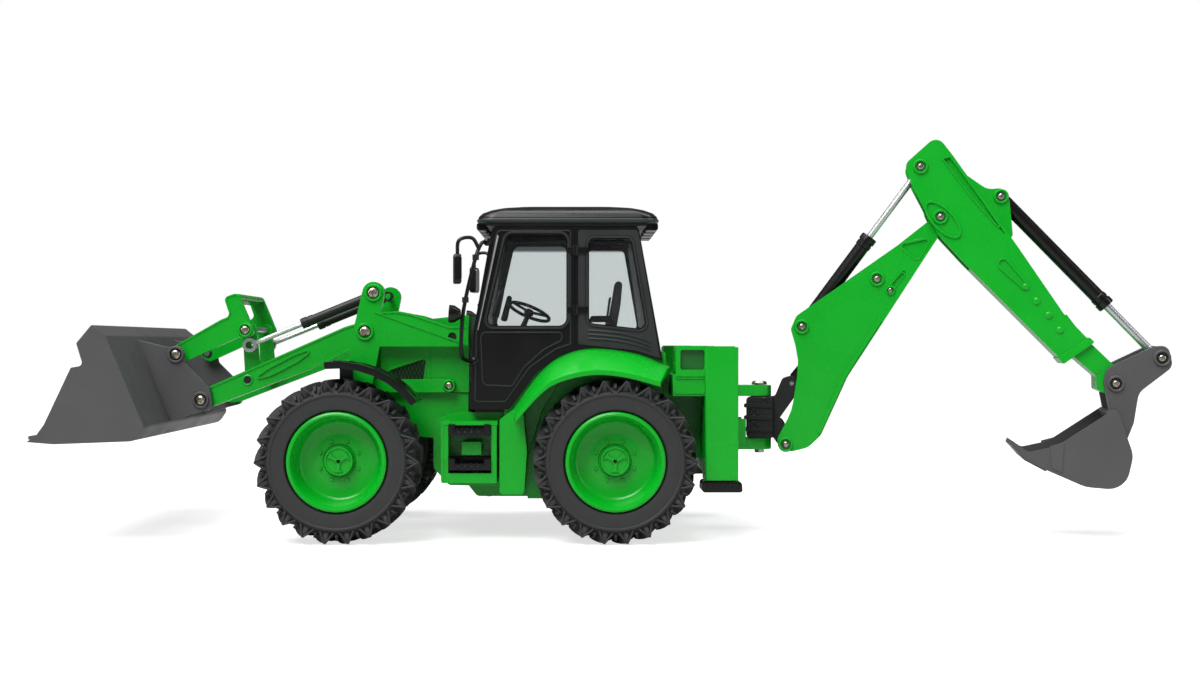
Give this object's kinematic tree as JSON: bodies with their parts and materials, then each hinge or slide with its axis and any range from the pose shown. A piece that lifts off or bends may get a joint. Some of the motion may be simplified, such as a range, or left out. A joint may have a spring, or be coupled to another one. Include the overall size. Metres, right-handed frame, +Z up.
{
  "type": "toy backhoe loader",
  "caption": "Toy backhoe loader on four wheels: a tilting front bucket on lifting arms, a glazed cab, and a slewing boom, stick and digging bucket with stabiliser legs.",
  "frame": {"origin": "middle of the footprint of the bounding box, at the height where the tyres stand", "axes": "+X from the front loader towards the backhoe, +Y towards the driver's right, +Z up"},
  "size_m": [0.58, 0.172, 0.2086],
  "materials": {
    "green_abs": "glossy bright green moulded ABS",
    "gloss_black_abs": "glossy black moulded ABS",
    "satin_black_nylon": "satin black nylon",
    "bucket_grey": "satin dark grey plastic",
    "tyre_rubber": "matt charcoal rubber",
    "chromed_rod": "bright plated steel",
    "steel_shaft": "drawn steel",
    "clear_window": "clear, slightly smoked window plastic",
    "circuit_board": "solder-masked board",
    "battery_wrap": "blue shrink wrap"
  },
  "bodies": {
    "root": {"chassis_tub": "green_abs", "battery_cover": "green_abs", "battery_pack": "battery_wrap", "drive_gearbox": "satin_black_nylon", "control_board": "circuit_board", "hood": "green_abs", "cab_shell": "gloss_black_abs", "cab_glazing": "clear_window", "cab_roof": "gloss_black_abs", "cab_floor": "satin_black_nylon", "driver_seat": "satin_black_nylon", "steering_wheel": "gloss_black_abs", "front_axle_beam": "satin_black_nylon", "rear_frame": "green_abs", "kingpost_bracket": "green_abs", "rear_fender_left": "green_abs", "rear_fender_right": "green_abs", "cab_step_left": "gloss_black_abs", "cab_step_right": "gloss_black_abs", "mirror_rail_left": "gloss_black_abs", "mirror_rail_right": "gloss_black_abs", "loader_tower_left": "green_abs", "loader_tower_right": "green_abs"},
    "rear_axle": {"rear_axle_shaft": "steel_shaft", "rear_tyre_left": "tyre_rubber", "rear_rim_left": "green_abs", "rear_tyre_right": "tyre_rubber", "rear_rim_right": "green_abs"},
    "knuckle_left": {"steering_knuckle_left": "satin_black_nylon", "front_fender_left": "gloss_black_abs"},
    "knuckle_right": {"steering_knuckle_right": "satin_black_nylon", "front_fender_right": "gloss_black_abs"},
    "front_wheel_left": {"front_tyre_left": "tyre_rubber", "front_rim_left": "green_abs"},
    "front_wheel_right": {"front_tyre_right": "tyre_rubber", "front_rim_right": "green_abs"},
    "tie_rod": {"tie_rod": "steel_shaft"},
    "loader": {"loader_arms": "green_abs"},
    "rocker": {"tilt_rocker": "green_abs"},
    "link": {"tipping_link": "green_abs"},
    "front_bucket": {"loader_bucket": "bucket_grey"},
    "tilt_barrels": {"tilt_barrel_left": "satin_black_nylon", "tilt_barrel_right": "satin_black_nylon"},
    "tilt_screws": {"tilt_screw_left": "steel_shaft", "tilt_screw_right": "steel_shaft"},
    "tilt_rods": {"tilt_rod_left": "chromed_rod", "tilt_rod_right": "chromed_rod"},
    "leg_left": {"stabiliser_leg_left": "gloss_black_abs"},
    "leg_right": {"stabiliser_leg_right": "gloss_black_abs"},
    "swing": {"swing_casting": "satin_black_nylon"},
    "boom": {"boom": "green_abs"},
    "boom_barrel": {"boom_cylinder_barrel": "satin_black_nylon"},
    "boom_rod": {"boom_cylinder_rod": "chromed_rod"},
    "stick": {"stick": "green_abs"},
    "stick_barrel": {"stick_cylinder_barrel": "satin_black_nylon"},
    "stick_rod": {"stick_cylinder_rod": "chromed_rod"},
    "rear_bucket": {"digging_bucket": "bucket_grey"},
    "bucket_barrel": {"bucket_cylinder_barrel": "satin_black_nylon"},
    "bucket_rod": {"bucket_cylinder_rod": "chromed_rod"}
  },
  "joints": [
    {"name": "rear_axle_spin", "type": "hinge", "parent": "root", "child": "rear_axle", "pos_m": [-0.00026, 0, 0.0415], "axis": [0, 1, 0], "continuous": true},
    {"name": "steer_left", "type": "hinge", "parent": "root", "child": "knuckle_left", "pos_m": [-0.13976, -0.04, 0.0415], "axis": [0, 0, 1], "range_deg": [-18, 18]},
    {"name": "steer_right", "type": "hinge", "parent": "root", "child": "knuckle_right", "pos_m": [-0.13976, 0.04, 0.0415], "axis": [0, 0, 1], "range_deg": [-18.5, 18.5]},
    {"name": "tie_rod_shift", "type": "slide", "parent": "root", "child": "tie_rod", "axis": [0, 1, 0], "range_m": [-0.0048, 0.0048]},
    {"name": "front_left_spin", "type": "hinge", "parent": "knuckle_left", "child": "front_wheel_left", "pos_m": [-0.13976, -0.06, 0.0415], "axis": [0, 1, 0], "continuous": true},
    {"name": "front_right_spin", "type": "hinge", "parent": "knuckle_right", "child": "front_wheel_right", "pos_m": [-0.13976, 0.06, 0.0415], "axis": [0, 1, 0], "continuous": true},
    {"name": "loader_lift", "type": "hinge", "parent": "root", "child": "loader", "pos_m": [-0.13046, 0, 0.107], "axis": [0, 1, 0], "range_deg": [-18, 35]},
    {"name": "bucket_tilt", "type": "hinge", "parent": "loader", "child": "front_bucket", "pos_m": [-0.21666, 0, 0.0712], "axis": [0, -1, 0], "range_deg": [-15, 45]},
    {"name": "rocker_swing", "type": "hinge", "parent": "loader", "child": "rocker", "pos_m": [-0.19286, 0, 0.0816], "axis": [0, -1, 0], "range_deg": [-15.44, 45.14]},
    {"name": "link_swing", "type": "hinge", "parent": "rocker", "child": "link", "pos_m": [-0.19466, 0, 0.108], "axis": [0, -1, 0], "range_deg": [-31.01, 10.61]},
    {"name": "tilt_barrel_swing", "type": "hinge", "parent": "root", "child": "tilt_barrels", "pos_m": [-0.12606, 0, 0.1274], "axis": [0, 1, 0], "range_deg": [-16.12, 30.91]},
    {"name": "tilt_screw_slide", "type": "slide", "parent": "tilt_barrels", "child": "tilt_screws", "axis": [-0.9266, 0, -0.3761], "range_m": [-0.01122, 0.00585]},
    {"name": "tilt_rod_slide", "type": "slide", "parent": "tilt_screws", "child": "tilt_rods", "axis": [-0.9266, 0, -0.3761], "range_m": [-0.00466, 0.01361]},
    {"name": "stabiliser_left", "type": "slide", "parent": "root", "child": "leg_left", "axis": [0, 0, -1], "range_m": [0, 0.024]},
    {"name": "stabiliser_right", "type": "slide", "parent": "root", "child": "leg_right", "axis": [0, 0, -1], "range_m": [0, 0.024]},
    {"name": "slew", "type": "hinge", "parent": "root", "child": "swing", "pos_m": [0.08094, 0, 0], "axis": [0, 0, 1], "range_deg": [-68, 92]},
    {"name": "boom_lift", "type": "hinge", "parent": "swing", "child": "boom", "pos_m": [0.09551, -0.0031, 0.0461], "axis": [-0.2079, -0.9781, 0], "range_deg": [-25, 20]},
    {"name": "boom_barrel_swing", "type": "hinge", "parent": "swing", "child": "boom_barrel", "pos_m": [0.09845, -0.00372, 0.0792], "axis": [-0.2079, -0.9781, 0], "range_deg": [-34.1, 27.4]},
    {"name": "boom_rod_slide", "type": "slide", "parent": "boom_barrel", "child": "boom_rod", "axis": [0.6155, -0.1308, 0.7772], "range_m": [-0.00675, 0.0084]},
    {"name": "stick_swing", "type": "hinge", "parent": "boom", "child": "stick", "pos_m": [0.17514, -0.02002, 0.1678], "axis": [-0.2079, -0.9781, 0], "range_deg": [-30, 30]},
    {"name": "stick_barrel_swing", "type": "hinge", "parent": "boom", "child": "stick_barrel", "pos_m": [0.10402, -0.00491, 0.1099], "axis": [-0.2079, -0.9781, 0], "range_deg": [-4.28, 4.28]},
    {"name": "stick_rod_slide", "type": "slide", "parent": "stick_barrel", "child": "stick_rod", "axis": [0.5802, -0.1233, 0.8051], "range_m": [-0.01255, 0.01255]},
    {"name": "dig_bucket_curl", "type": "hinge", "parent": "stick", "child": "rear_bucket", "pos_m": [0.26072, -0.03821, 0.0801], "axis": [-0.2079, -0.9781, 0], "range_deg": [-20, 50]},
    {"name": "bucket_barrel_swing", "type": "hinge", "parent": "stick", "child": "bucket_barrel", "pos_m": [0.20556, -0.02649, 0.1784], "axis": [-0.2079, -0.9781, 0], "range_deg": [-2, 2]},
    {"name": "bucket_rod_slide", "type": "slide", "parent": "bucket_barrel", "child": "bucket_rod", "axis": [0.665, -0.1413, -0.7333], "range_m": [-0.02212, 0.00903]}
  ],
  "couplings": [
    {"joint": "steer_right", "follows": "steer_left", "ratio": 1},
    {"joint": "tie_rod_shift", "follows": "steer_left", "m_per_rad": 0.0145},
    {"joint": "rocker_swing", "follows": "bucket_tilt", "ratio": 0.99},
    {"joint": "link_swing", "follows": "bucket_tilt", "ratio": -0.68},
    {"joint": "tilt_rod_slide", "follows": "bucket_tilt", "m_per_rad": 0.0171},
    {"joint": "tilt_barrel_swing", "follows": "loader_lift", "ratio": 0.87},
    {"joint": "tilt_screw_slide", "follows": "loader_lift", "m_per_rad": -0.0181},
    {"joint": "boom_barrel_swing", "follows": "boom_lift", "ratio": 1.34},
    {"joint": "boom_rod_slide", "follows": "boom_lift", "m_per_rad": -0.0189},
    {"joint": "stick_barrel_swing", "follows": "stick_swing", "ratio": 0.14},
    {"joint": "stick_rod_slide", "follows": "stick_swing", "m_per_rad": -0.0235},
    {"joint": "bucket_barrel_swing", "follows": "dig_bucket_curl", "ratio": -0.02},
    {"joint": "bucket_rod_slide", "follows": "dig_bucket_curl", "m_per_rad": -0.025}
  ]
}
